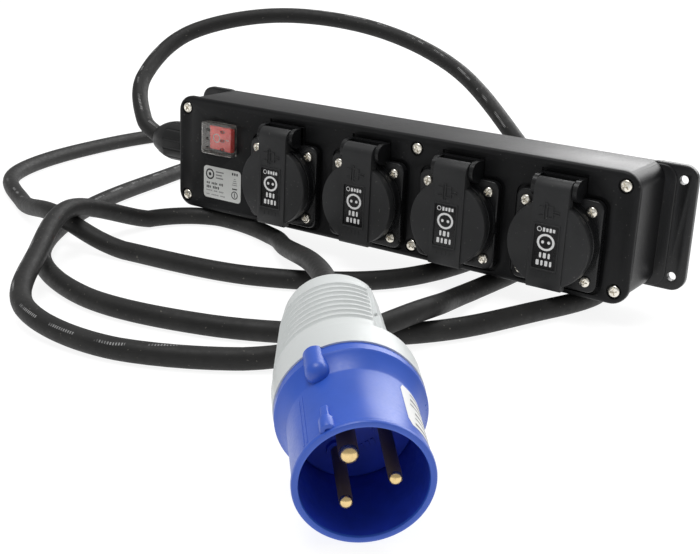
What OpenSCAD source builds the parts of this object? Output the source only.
// Portable power distribution box: a black moulded box with four flap-covered sockets, a covered
// double-pole rocker switch, a cable gland, a heavy rubber cable and a blue 16 A three-pin plug.
// X runs along the box, Y = 0 is the wall face and the front looks along -Y, Z is up.
// The origin is the centre of the four wall-mount holes, on the wall face.

/* [Box] */
// Length of the front cover
box_l = 311; // [309:1:315]
// Height of the front cover
box_h = 72; // [71:1:74]
// Depth from the wall face to the front of the cover
box_d = 46; // [45:1:48]
// Thickness of the front cover
cover_t = 4; // [3.5:0.5:4.5]
// Corner radius of the cover
corner_r = 10; // [8:1:11]
// Wall thickness of the housing
wall_t = 2.5; // [2:0.5:3]

/* [Wall tabs] */
// How far each wall tab reaches past the end of the cover
tab_reach = 16; // [14:1:18]
// Thickness of the wall tabs
tab_t = 4; // [3:0.5:5]
// Distance between the tab holes along X
tab_hole_x = 328; // [326:1:330]
// Distance between the tab holes along Z
tab_hole_z = 54; // [50:1:56]
// Diameter of the tab holes
tab_hole_d = 5; // [4.5:0.5:5.5]

/* [Sockets] */
// Distance between socket centres
socket_pitch = 60.7; // [60:0.1:61]
// Centre of the first socket along X
socket_x0 = -67.9; // [-68:0.1:-67]
// Height of the socket centres
socket_z = -6.2; // [-6.5:0.1:-6]
// Side of the square flange
flange_w = 50; // [49:0.5:50.5]
// Distance between the flange screws, both ways
flange_hole = 38; // [37.5:0.5:38.5]
// Diameter of the lid disc
lid_d = 47.2; // [46.5:0.1:48]
// Diameter of the plug cavity
cavity_d = 39; // [38.5:0.5:39.5]
// Depth of the plug cavity
cavity_depth = 17.5; // [17:0.5:18]
// Height of the lid hinge above the socket centre
hinge_z = 28.6; // [28.6:0.1:29.4]

/* [Switch and gland] */
// Centre of the switch along X
switch_x = -119.4; // [-120:0.2:-118]
// Centre of the switch along Z
switch_z = 12.7; // [12:0.1:13.5]
// Resting tilt of the rocker to each side
rocker_tilt = 8; // [6:1:8]
// Height of the gland centre
gland_z = 0; // [-2:1:2]
// Distance of the gland centre from the wall face
gland_y = 26; // [25:1:27]

/* [Cable and plug] */
// Diameter of the rubber cable
cord_d = 11; // [10.5:0.5:11]
// Outer diameter of the plug shroud
shroud_d = 50; // [48:1:50]
// Diameter of the plug collar
collar_d = 57.4; // [56.6:0.2:58]
// Length of the plug from rim to rear
plug_l = 119; // [118:1:121]
// Radius of the circle that the plug pins stand on
pin_circle_r = 11; // [10.5:0.5:11.5]
// Diameter of the two current pins
pin_d = 5; // [4.5:0.1:5]
// Diameter of the earth pin
earth_pin_d = 7; // [6.5:0.1:7]

/* [Hidden] */
$fn = 48;
face_y = -box_d;                      // front face of the cover
gasket_t = 1;                         // rubber seal between cover and housing
rim_y = face_y + cover_t + gasket_t;  // open front edge of the housing
inset = 1.5;                          // the housing stands this far inside the cover
body_l = box_l - 2 * inset;
body_h = box_h - 2 * inset;
body_r = corner_r - inset;
back_t = 3;                           // thickness of the housing's back
screw_x = box_l / 2 - 7.5;            // cover screws, from the centre
screw_z = box_h / 2 - 7.5;
mid_screw_x = 23.3;
cover_screws_at = [for (x = [-screw_x, mid_screw_x, screw_x], z = [-screw_z, screw_z]) [x, z]];
sockets = [for (i = [0:3]) socket_x0 + i * socket_pitch];

flange_t = 4;                         // flange plate in front of the cover
collar_t = 5;                         // round collar in front of the flange
collar_r = 23.8;
cup_r = cavity_d / 2 + 2;             // outside of the socket cup behind the cover
rim_front_y = face_y - flange_t - collar_t;
floor_y = rim_front_y + cavity_depth; // bottom of the plug cavity
cup_back_y = floor_y + 13;
lid_gap = 0.3;
lid_t = 6.1;
lid_drop = 0.5;                       // the disc's centre stands this far below the socket's
hinge_y = face_y - 9.4;               // axis of the lid hinge
barrel_r = 4.1;
shoulder_r = 6;                       // round of the strap where it bends over the hinge
strap_foot = 24.6;                    // lower end of the strap below the socket's centre
strap_w = 20;                         // raised band down the middle of each lid
pin_r = 1;                            // lid hinge pin
hinge_clear = 0.06;                   // running clearance of the lid on its pin

rocker_l = 18.8;
rocker_h = 14.8;
rocker_x = switch_x + 1;              // the rocker stands a little right of the cap's middle
rocker_y = face_y + 1.2;              // rocker pivot axis
cap_w = 24.3;
cap_h = 20.2;
cap_out = 6;                          // how far the clear cap stands out

gland_r = 10;                         // gland thread
gland_end = 190;                      // outer end of the gland from the centre
cord_r = cord_d / 2;
surface_z = -box_h / 2 - cord_d - 0.5; // what the box, its cable and its plug lie on

// The cable's route. Each point is x, y and the height of the cable's centre above the surface.
// It leaves the gland in a high arch behind the box, lies down behind the right end, passes
// under the box three times, laps itself in front of the left end and rises into the plug.
arch_points = 9;
route = [
    [-190, -26, 47.5], [-209.5, -21.3, 57.3], [-231.3, 2.6, 80.8], [-231.6, 51, 107.5],
    [-195, 108, 120], [-128, 138, 115], [-52, 130, 95], [18, 94, 59], [72, 60, 23], [113, 27, 8],
    [128, -18, 5.5], [112, -72, 5.5], [90, -124, 5.5], [55, -162, 5.5], [-5, -195, 5.5],
    [-80, -204, 5.5], [-152, -168, 5.5], [-202, -88, 5.5], [-225, 4, 5.5], [-230, 89, 5.5],
    [-170, 157, 5.5], [-55, 159, 5.5], [25, 109, 5.5], [45, 14, 5.5], [27, -71, 5.5],
    [-35, -119, 5.5], [-122, -132, 5.5], [-179, -132, 17.2], [-245, -99, 5.5], [-310, -50, 5.5],
    [-335, 39, 5.5], [-325, 144, 5.5], [-250, 219, 5.5], [-130, 237, 5.5], [-10, 211, 5.5],
    [68, 119, 5.5], [75, 4, 5.5], [72, -76, 6.5], [83, -136, 17.5], [50, -206, 6.5],
    [-15, -246, 5.5], [-82, -242, 9], [-124, -196, 17.5], [-157, -139, 26.1], [-158, -72, 5.5],
    [-129, -40, 5.6], [-77, -49, 5.5], [-43, -78, 11.2], [12, -130, 26.6], [65, -192, 42.5],
    [92, -225.2, 41.3]
];
cord_sides = 8;
steps = 2;                            // rings for each stretch between two points

// The plug lies on its shroud and collar, nose down, beside the box.
plug_at = [168.2, -314.8, -22.6];     // centre of the shroud's rim
plug_dip = 7.8;                       // nose-down angle
plug_turn = 40.4;                     // turn about Z, from straight ahead towards +X
plug_roll = 120;                      // direction of the earth pin round the plug's axis
collar_at = 41.5;                       // front of the collar, behind the rim
collar_w = 6;
shroud_wall = 2.6;
carrier_at = 37;                      // front of the pin carrier, behind the rim
pin_recess = 1.5;
rear_r = 21.3;                        // rear end of the handle
key_roll = plug_roll + 3;             // direction of the key ridge and the lobe behind it

// A flat rounded rectangle, made of two squares and four circles so that its corners stay true arcs.
module rounded(w, h, r) {
    square([w - 2 * r, h], center = true);
    square([w, h - 2 * r], center = true);
    for (x = [-1, 1], z = [-1, 1]) translate([x * (w / 2 - r), z * (h / 2 - r)]) circle(r);
}

// Stands a flat outline up facing the front and gives it depth from y towards the front.
module facing(y, depth) {
    translate([0, y, 0]) rotate([90, 0, 0]) linear_extrude(depth) children();
}

// A round bar along Y, from y towards the front.
module bar(y, depth, r) {
    translate([0, y, 0]) rotate([90, 0, 0]) cylinder(h = depth, r = r);
}

// A round bar along X, centred.
module cross_bar(length, r) {
    rotate([0, 90, 0]) cylinder(h = length, r = r, center = true);
}

// ---- Housing and cover ----

module housing() color("#26282a") difference() {
    union() {
        difference() {
            facing(0, -rim_y) rounded(body_l, body_h, body_r);
            facing(-back_t, box_d) rounded(body_l - 2 * wall_t, body_h - 2 * wall_t, body_r - wall_t);
        }
        for (s = [-1, 1]) translate([s * (box_l / 2 + tab_reach - 15), 0, 0])
            facing(0, tab_t) rounded(30, box_h - 2, 8);
        for (p = cover_screws_at) translate([p[0], 0, p[1]]) bar(-1, -rim_y - 1, 4.5);
    }
    // Screw holes down the bosses
    for (p = cover_screws_at) translate([p[0], 0, p[1]]) bar(-8, box_d, 1.5);
    for (x = [-1, 1], z = [-1, 1])
        translate([x * tab_hole_x / 2, 1, z * tab_hole_z / 2]) bar(0, tab_t + 2, tab_hole_d / 2);
    translate([-body_l / 2, -gland_y, gland_z]) cross_bar(4 * wall_t, gland_r);
}

module front_cover() color("#242628") difference() {
    facing(face_y + cover_t, cover_t) rounded(box_l, box_h, corner_r);
    for (x = sockets) translate([x, 0, socket_z]) {
        bar(0, box_d + 1, cup_r + 0.3);
        facing(face_y + 1.2, 2) rounded(flange_w + 3.6, flange_w + 3.6, 5);
        // Pocket behind the hinge block
        translate([-13.4, face_y - 1, 0]) cube([26.8, 2.2, hinge_z + 8.6]);
        for (sx = [-1, 1], sz = [-1, 1])
            translate([sx * flange_hole / 2, 0, sz * flange_hole / 2]) bar(0, box_d + 1, 1.5);
    }
    translate([rocker_x, 0, switch_z]) facing(0, box_d + 1) rounded(21.6, 17.8, 1);
    for (p = cover_screws_at) translate([p[0], 0, p[1]]) {
        bar(0, box_d + 1, 1.8);
        bar(face_y + 1.4, 3, 4.1);
    }
}

module cover_gasket() color("#101112") difference() {
    facing(rim_y, gasket_t) rounded(body_l - 0.6, body_h - 0.6, body_r - 0.3);
    facing(rim_y + 1, 3) rounded(body_l - 2 * wall_t, body_h - 2 * wall_t, body_r - wall_t);
}

// A cross-recessed pan-head screw along Y, its seat at y = seat.
module screw(seat, head_r, head_h, shank_r, shank_l) difference() {
    union() {
        bar(seat, head_h, head_r);
        bar(seat + shank_l, shank_l, shank_r);
    }
    for (a = [0, 90]) rotate([0, a, 0]) translate([0, seat - head_h, 0])
        cube([head_r * 1.2, head_h * 1.1, head_r * 0.26], center = true);
}

module cover_screws() color("#c9c6bd")
    for (p = cover_screws_at) translate([p[0], 0, p[1]])
        screw(face_y + 1.4, 3.3, 1.8, 1.5, 18);

// ---- Sockets ----

module at_socket(i) translate([sockets[i], 0, socket_z]) children();

// The square plate, which also carries the lid's hinge.
module flange(i) color("#1d1f20") at_socket(i) difference() {
    union() {
        facing(face_y, flange_t) rounded(flange_w, flange_w, 5);
        // Hinge block above the flange, with two ears that carry the pin
        translate([-13, face_y - 4, flange_w / 2 - 2]) cube([26, 4, hinge_z + 6.6 - flange_w / 2 + 2]);
        for (s = [-1, 1]) translate([s * 11.7, 0, 0]) {
            translate([0, hinge_y + 1.8, hinge_z + 0.8]) cross_bar(2.6, 5.8);
            translate([-1.3, hinge_y + 1.8, hinge_z - 5]) cube([2.6, -face_y + hinge_y + 15, 11.6]);
        }
    }
    bar(0, box_d + flange_t + 1, cup_r + 0.05);
    // Relief in the hinge block for the lid's barrel
    translate([0, hinge_y, hinge_z]) cross_bar(20.8, shoulder_r + 0.5);
    translate([0, hinge_y, hinge_z]) cross_bar(40, pin_r);
    for (sx = [-1, 1], sz = [-1, 1])
        translate([sx * flange_hole / 2, 0, sz * flange_hole / 2]) bar(0, box_d + 20, 1.7);
}

// The round cup behind and in front of the plate. A plug's body goes into it.
module cup(i) color("#1a1b1c") at_socket(i) difference() {
    union() {
        bar(cup_back_y, cup_back_y - face_y + flange_t, cup_r);
        bar(face_y - flange_t, collar_t, collar_r);
    }
    bar(cup_back_y + 1, cup_back_y + 2 - rim_front_y, cavity_d / 2);
}

module insert(i) color("#2b2d2f") at_socket(i) difference() {
    bar(floor_y + 10, 10, cavity_d / 2 - 0.1);
    for (s = [-1, 1]) translate([s * 9.5, 0, 0]) {
        bar(0, box_d + 20, 2.7);
        bar(floor_y + 12, 10, 3.3);
    }
    for (s = [-1, 1]) translate([-3.4, floor_y - 1, s * (cavity_d / 2 - 2.2) - 2.4]) cube([6.8, 12, 4.8]);
}

module contacts(i) color("#c9a45a") at_socket(i)
    for (s = [-1, 1]) translate([s * 9.5, 0, 0]) difference() {
        union() {
            bar(floor_y + 12.5, 10.3, 3.2);
            translate([-2.5, floor_y + 12.5, -2.5]) cube([5, 2, 5]);
        }
        bar(floor_y + 11, 10, 2.4);
    }

// The two sprung earth contacts, above and below, which stand into the plug cavity.
module earth_clips(i) color("#c2c4c4") at_socket(i)
    for (s = [-1, 1]) scale([1, 1, s]) {
        translate([-3, rim_front_y + 3, 17.9]) cube([6, cavity_depth + 6.5, 0.8]);
        translate([-3, rim_front_y + 5.5, 16.2]) cube([6, 6, 1]);
        translate([-3, rim_front_y + 7.9, 16.8]) cube([6, 1.2, 1.5]);
    }

module flange_gaskets() color("#101112")
    for (i = [0:3]) at_socket(i) difference() {
        facing(face_y + 1.2, 1.2) rounded(flange_w - 1, flange_w - 1, 4.5);
        bar(0, box_d + 1, cup_r + 0.3);
        for (sx = [-1, 1], sz = [-1, 1])
            translate([sx * flange_hole / 2, 0, sz * flange_hole / 2]) bar(0, box_d + 1, 1.7);
    }

module flange_screws() color("#c9c6bd")
    for (i = [0:3], sx = [-1, 1], sz = [-1, 1]) at_socket(i)
        translate([sx * flange_hole / 2, 0, sz * flange_hole / 2])
            screw(face_y - flange_t, 2.9, 1.7, 1.5, 12);

module lid_hinge_pins() color("#b9bbbb")
    for (i = [0:3]) at_socket(i) translate([0, hinge_y, hinge_z]) cross_bar(25.6, pin_r);

// Torsion springs round the hinge pins, in the hollow middle of each lid's barrel.
module lid_springs() color("#9fa2a3")
    for (i = [0:3]) at_socket(i) translate([0, hinge_y, hinge_z]) difference() {
        union() {
            cross_bar(9, 1.8);
            for (k = [-4:4]) translate([k, 0, 0]) cross_bar(0.6, 2.3);
        }
        cross_bar(12, 1.3);
    }

// ---- Lids ----

module lid(i) color("#1b1d1e") at_socket(i) difference() {
    union() {
        // Disc, with the strap standing a little proud down its middle
        translate([0, 0, -lid_drop]) bar(rim_front_y - lid_gap - 0.5, lid_t - 1.3, lid_d / 2);
        translate([-strap_w / 2, rim_front_y - lid_gap - lid_t, -strap_foot])
            cube([strap_w, lid_t - 0.5, hinge_z + strap_foot]);
        translate([0, hinge_y, hinge_z]) {
            cross_bar(strap_w, barrel_r);
            // Shoulder, a quarter round in front of the pin and above it
            difference() {
                cross_bar(strap_w, shoulder_r);
                translate([-strap_w, -10, -20]) cube([2 * strap_w, 20, 20]);
                translate([-strap_w, 0, -10]) cube([2 * strap_w, 20, 20]);
            }
        }
    }
    // Sunk frame for the marking
    facing(rim_front_y - lid_gap - lid_t + 0.6, 2) translate([-0.7, -1.6]) rounded(13.6, 24, 1);
    translate([0, hinge_y, hinge_z]) {
        cross_bar(strap_w + 2, pin_r + hinge_clear);
        cross_bar(9.8, 2.8);
    }
}

module lid_seal(i) color("#2c2e2f") at_socket(i) difference() {
    bar(rim_front_y - lid_gap + 0.1, 0.6, cavity_d / 2 + 3);
    bar(0, box_d + 20, cavity_d / 2 + 1);
}

// ---- Switch ----

module switch_body() color("#1a1b1c") translate([rocker_x, 0, switch_z]) difference() {
    union() {
        translate([switch_x - rocker_x, 0, 0]) facing(face_y, 1) rounded(cap_w - 1, cap_h - 1, 1.2);
        facing(face_y + 17, 17) rounded(rocker_l + 2.4, 17.4, 0.8);
    }
    facing(face_y + 8, 12) rounded(rocker_l + 1.2, rocker_h + 0.4, 0.6);
    translate([0, rocker_y, 0]) cylinder(h = rocker_h + 1.8, r = 1, center = true);
}

module switch_pivot() color("#b9bbbb")
    translate([rocker_x, rocker_y, switch_z]) cylinder(h = rocker_h + 1.6, r = 1, center = true);

// Rests with its left side pressed in.
module switch_rocker() color("#d8262a") translate([rocker_x, rocker_y, switch_z])
    rotate([0, 0, -rocker_tilt]) difference() {
        union() {
            // Body with a shallow V front, a face to press at each end
            translate([0, 0, -rocker_h / 2]) linear_extrude(rocker_h)
                polygon([[-rocker_l / 2, -3.6], [0, -2.6], [rocker_l / 2, -3.6],
                         [rocker_l / 2, 1.2], [4.5, 4], [-4.5, 4], [-rocker_l / 2, 1.2]]);
        }
        cylinder(h = 40, r = 1.05, center = true);
    }

module switch_cap() color([0.95, 0.93, 0.86, 0.3]) translate([switch_x, 0, switch_z]) difference() {
    facing(face_y, cap_out) rounded(cap_w, cap_h, 1.6);
    facing(face_y + 1, cap_out + 0.4) rounded(cap_w - 0.8, cap_h - 0.8, 1.2);
}

module switch_terminals() color("#c9a45a") translate([rocker_x, 0, switch_z])
    for (x = [-6, 0, 6], z = [-5, 5])
        translate([x - 0.4, face_y + 17, z - 2.4]) cube([0.8, 8, 4.8]);

module rating_label() color("#eceded") translate([-118.6, 0, -16.8])
    facing(face_y, 0.3) rounded(30.4, 20.8, 2.5);

// ---- Gland and inner wiring ----

module at_gland(x) translate([x, -gland_y, gland_z]) rotate([0, -90, 0]) children();

module gland_body() color("#17191a") at_gland(-body_l / 2 + 12) difference() {
    union() {
        cylinder(h = 12, r = gland_r - 0.1);
        translate([0, 0, 12]) cylinder(h = 6, r = 14, $fn = 6);
        translate([0, 0, 18]) cylinder(h = 8, r = 9.6);
    }
    translate([0, 0, -1]) cylinder(h = 40, r = cord_r + 0.3);
}

module gland_locknut() color("#17191a") at_gland(-body_l / 2 + wall_t + 5) difference() {
    cylinder(h = 5, r = 13.6, $fn = 6);
    translate([0, 0, -1]) cylinder(h = 8, r = gland_r - 0.05);
}

module gland_dome() color("#17191a") at_gland(-body_l / 2 - 6.5) difference() {
    rotate_extrude() polygon([[0, 0], [12.6, 0], [13, 0.6], [13, 16], [12.2, 20], [10.4, 24.5],
                              [8.2, gland_end - body_l / 2 - 6.5], [0, gland_end - body_l / 2 - 6.5]]);
    translate([0, 0, -1]) cylinder(h = 17, r = 9.7);
    translate([0, 0, 10]) cylinder(h = 30, r = cord_r + 0.1);
}

module gland_seal() color("#0e0f10") at_gland(-body_l / 2 - 14.2) difference() {
    cylinder(h = 7.5, r = 9.5);
    translate([0, 0, -1]) cylinder(h = 12, r = cord_r + 0.05);
}

module cable_tail() color("#1c1d1e") at_gland(-body_l / 2 + 20)
    cylinder(h = gland_end - body_l / 2 + 20, r = cord_r);

module terminal_block() color("#dcd8cc") translate([(sockets[0] + sockets[1]) / 2, 0, 0])
    difference() {
        translate([-6, -21, -24]) cube([12, 21 - back_t, 36]);
        for (z = [-20, -6, 8]) translate([0, 0, z]) {
            translate([-10, -11.1, -2.1]) cube([20, 1.8, 4.2]);
            bar(-11, 12, 1.4);
            bar(-18.5, 4, 2.4);
        }
    }

// Copper bars behind the sockets, which carry live, neutral and earth from socket to socket.
module busbars() color("#b5734a")
    for (z = [-20, -6, 8])
        translate([sockets[0] - 12, -11, z - 2]) cube([sockets[3] - sockets[0] + 24, 1.6, 4]);

// ---- Cable ----

function lay(p) = [p[0], p[1], surface_z + max(p[2], cord_r)];
function at(k) = route[max(0, min(len(route) - 1, k))];
function blend(a, b, c, d, t) = 0.5 * (2 * b + (c - a) * t
    + (2 * a - 5 * b + 4 * c - d) * t * t + (3 * b - a - 3 * c + d) * t * t * t);
function before(k) = k == 0 ? 2 * at(0) - at(1) : at(k - 1);
function after(k) = k + 2 > len(route) - 1 ? 2 * at(k + 1) - at(k) : at(k + 2);
function along(k, t) = lay(blend(before(k), at(k), at(k + 1), after(k), t));
path = concat([for (k = [0:len(route) - 2], s = [0:steps - 1]) along(k, s / steps)],
              [lay(route[len(route) - 1])]);

function unit(v) = v / norm(v);
function heading(k) = k == 0 ? [-1, 0, 0] : unit(path[min(k + 1, len(path) - 1)] - path[k - 1]);

// One closed tube through the route's rings from first to last.
module tube(first, last) {
    points = [for (k = [first:last]) let (t = heading(k), n = unit(cross(t, [0, 0, 1])), b = cross(n, t))
        for (s = [0:cord_sides - 1]) let (a = 360 * s / cord_sides)
            path[k] + cord_r * (cos(a) * b + sin(a) * n)];
    rings = last - first;
    walls = [for (k = [0:rings - 1], s = [0:cord_sides - 1]) let (q = (s + 1) % cord_sides)
        [k * cord_sides + s, k * cord_sides + q, (k + 1) * cord_sides + q, (k + 1) * cord_sides + s]];
    ends = [[for (s = [cord_sides - 1:-1:0]) s], [for (s = [0:cord_sides - 1]) rings * cord_sides + s]];
    polyhedron(points, concat(walls, ends), convexity = 10);
}

module cable_arch() color("#1c1d1e") tube(0, arch_points * steps);
module cable_floor() color("#1c1d1e") tube(arch_points * steps, len(path) - 1);

// ---- Plug, drawn along Z with its rim at 0 and its rear at -plug_l, then laid in place ----

module at_plug() translate(plug_at) rotate([90 + plug_dip, 0, plug_turn]) children();

module plug_front() color("#2f55c8") at_plug() difference() {
    union() {
        translate([0, 0, -collar_at - collar_w]) cylinder(h = collar_at + collar_w, r = shroud_d / 2 - 0.6);
        translate([0, 0, -2]) cylinder(h = 2, r = shroud_d / 2);
        translate([0, 0, -collar_at - collar_w]) cylinder(h = collar_w, r = collar_d / 2);
        // Sloping front of the collar
        translate([0, 0, -collar_at]) cylinder(h = 6, r1 = collar_d / 2 - 0.2, r2 = shroud_d / 2 - 0.6);
        // Key ridge near the rim, and a lobe across the collar behind it
        rotate([0, 0, key_roll]) {
            translate([shroud_d / 2 - 2.2, -2.2, -17]) cube([4.4, 4.4, 17]);
            translate([shroud_d / 2 + 0.8, 0, -collar_at - collar_w - 1]) cylinder(h = 15.5, r = 4.6);
        }
    }
    translate([0, 0, -carrier_at]) cylinder(h = carrier_at + 1, r = shroud_d / 2 - shroud_wall);
    translate([0, 0, -collar_at - collar_w - 1]) cylinder(h = 60, r = shroud_d / 2 - 6);
}

module plug_pin_carrier() color("#2748ad") at_plug() difference() {
    union() {
        translate([0, 0, -carrier_at - 13]) cylinder(h = 14, r = shroud_d / 2 - 6.1);
        translate([0, 0, -carrier_at]) cylinder(h = 2, r = shroud_d / 2 - shroud_wall - 0.3);
    }
    pins_round(earth_pin_d / 2 + 0.02, pin_d / 2 + 0.02, -carrier_at - 20, 40);
}

// The earth pin's place and the two current pins' places, as bars of the given radii.
module pin_round(k, r, z, h) rotate([0, 0, plug_roll + 120 * k])
    translate([pin_circle_r, 0, z]) cylinder(h = h, r = r);
module pins_round(earth_r, current_r, z, h) {
    pin_round(0, earth_r, z, h);
    for (k = [1, 2]) pin_round(k, current_r, z, h);
}

module domed_pin(k, r) rotate([0, 0, plug_roll + 120 * k]) translate([pin_circle_r, 0, 0])
    rotate_extrude() polygon([[0, -carrier_at - 18], [r, -carrier_at - 18], [r, -pin_recess - r * 0.6],
                              [r * 0.75, -pin_recess - r * 0.2], [r * 0.35, -pin_recess], [0, -pin_recess]]);

module plug_earth_pin() color("#b8964f") at_plug() domed_pin(0, earth_pin_d / 2);
module plug_current_pins() color("#b8964f") at_plug() for (k = [1, 2]) domed_pin(k, pin_d / 2);

module plug_handle() color("#d9dcdc") at_plug() difference() {
    rotate_extrude() polygon([[0, -plug_l], [rear_r - 1, -plug_l], [rear_r, -plug_l + 1.5],
                              [22.7, -110], [24.3, -100], [25.7, -90], [27.8, -70], [28.9, -60],
                              [28.9, -collar_at - collar_w], [0, -collar_at - collar_w]]);
    translate([0, 0, -plug_l + 12]) cylinder(h = 100, r = 16);
    translate([0, 0, -58]) cylinder(h = 60, r = 22);
    translate([0, 0, -plug_l - 1]) cylinder(h = 20, r = 9);
    rotate([0, 0, key_roll]) translate([shroud_d / 2 + 0.8, 0, -48.6]) cylinder(h = 20, r = 4.65);
    // Flat for the latch
    rotate([0, 0, 25]) translate([19.5, -20, -120]) cube([20, 40, 58]);
    // Grip rings
    for (k = [0:7]) translate([0, 0, -104 + 5 * k]) rotate_extrude()
        translate([24 + 0.6 * k, 0]) circle(0.8, $fn = 16);
}

module plug_grommet() color("#1a1b1c") at_plug() difference() {
    translate([0, 0, -plug_l]) cylinder(h = 11.9, r = 8.9);
    translate([0, 0, -plug_l - 1]) cylinder(h = 20, r = cord_r + 0.1);
}

module plug_cord_clamp() color("#c7c9c9") at_plug() difference() {
    translate([-11, -7, -plug_l + 26]) cube([22, 14, 9]);
    translate([0, 0, -plug_l + 20]) cylinder(h = 30, r = cord_r + 0.1);
    for (s = [-1, 1]) translate([s * 8.6, -10, -plug_l + 30.5]) rotate([-90, 0, 0]) cylinder(h = 30, r = 1.6);
}

module plug_screws() color("#c9c6bd") at_plug()
    for (s = [-1, 1]) translate([s * 8.6, 9.2, -plug_l + 30.5]) rotate([90, 0, 0]) {
        cylinder(h = 2.1, r = 2.2);
        cylinder(h = 16, r = 1.5);
    }

housing();
front_cover();
cover_gasket();
cover_screws();
for (i = [0:3]) {
    flange(i);
    cup(i);
    insert(i);
    contacts(i);
    earth_clips(i);
    lid(i);
    lid_seal(i);
}
flange_gaskets();
flange_screws();
lid_hinge_pins();
lid_springs();
switch_body();
switch_rocker();
switch_pivot();
switch_cap();
switch_terminals();
rating_label();
gland_body();
gland_locknut();
gland_dome();
gland_seal();
cable_tail();
terminal_block();
busbars();
cable_arch();
cable_floor();
plug_handle();
plug_front();
plug_pin_carrier();
plug_earth_pin();
plug_current_pins();
plug_cord_clamp();
plug_screws();
plug_grommet();
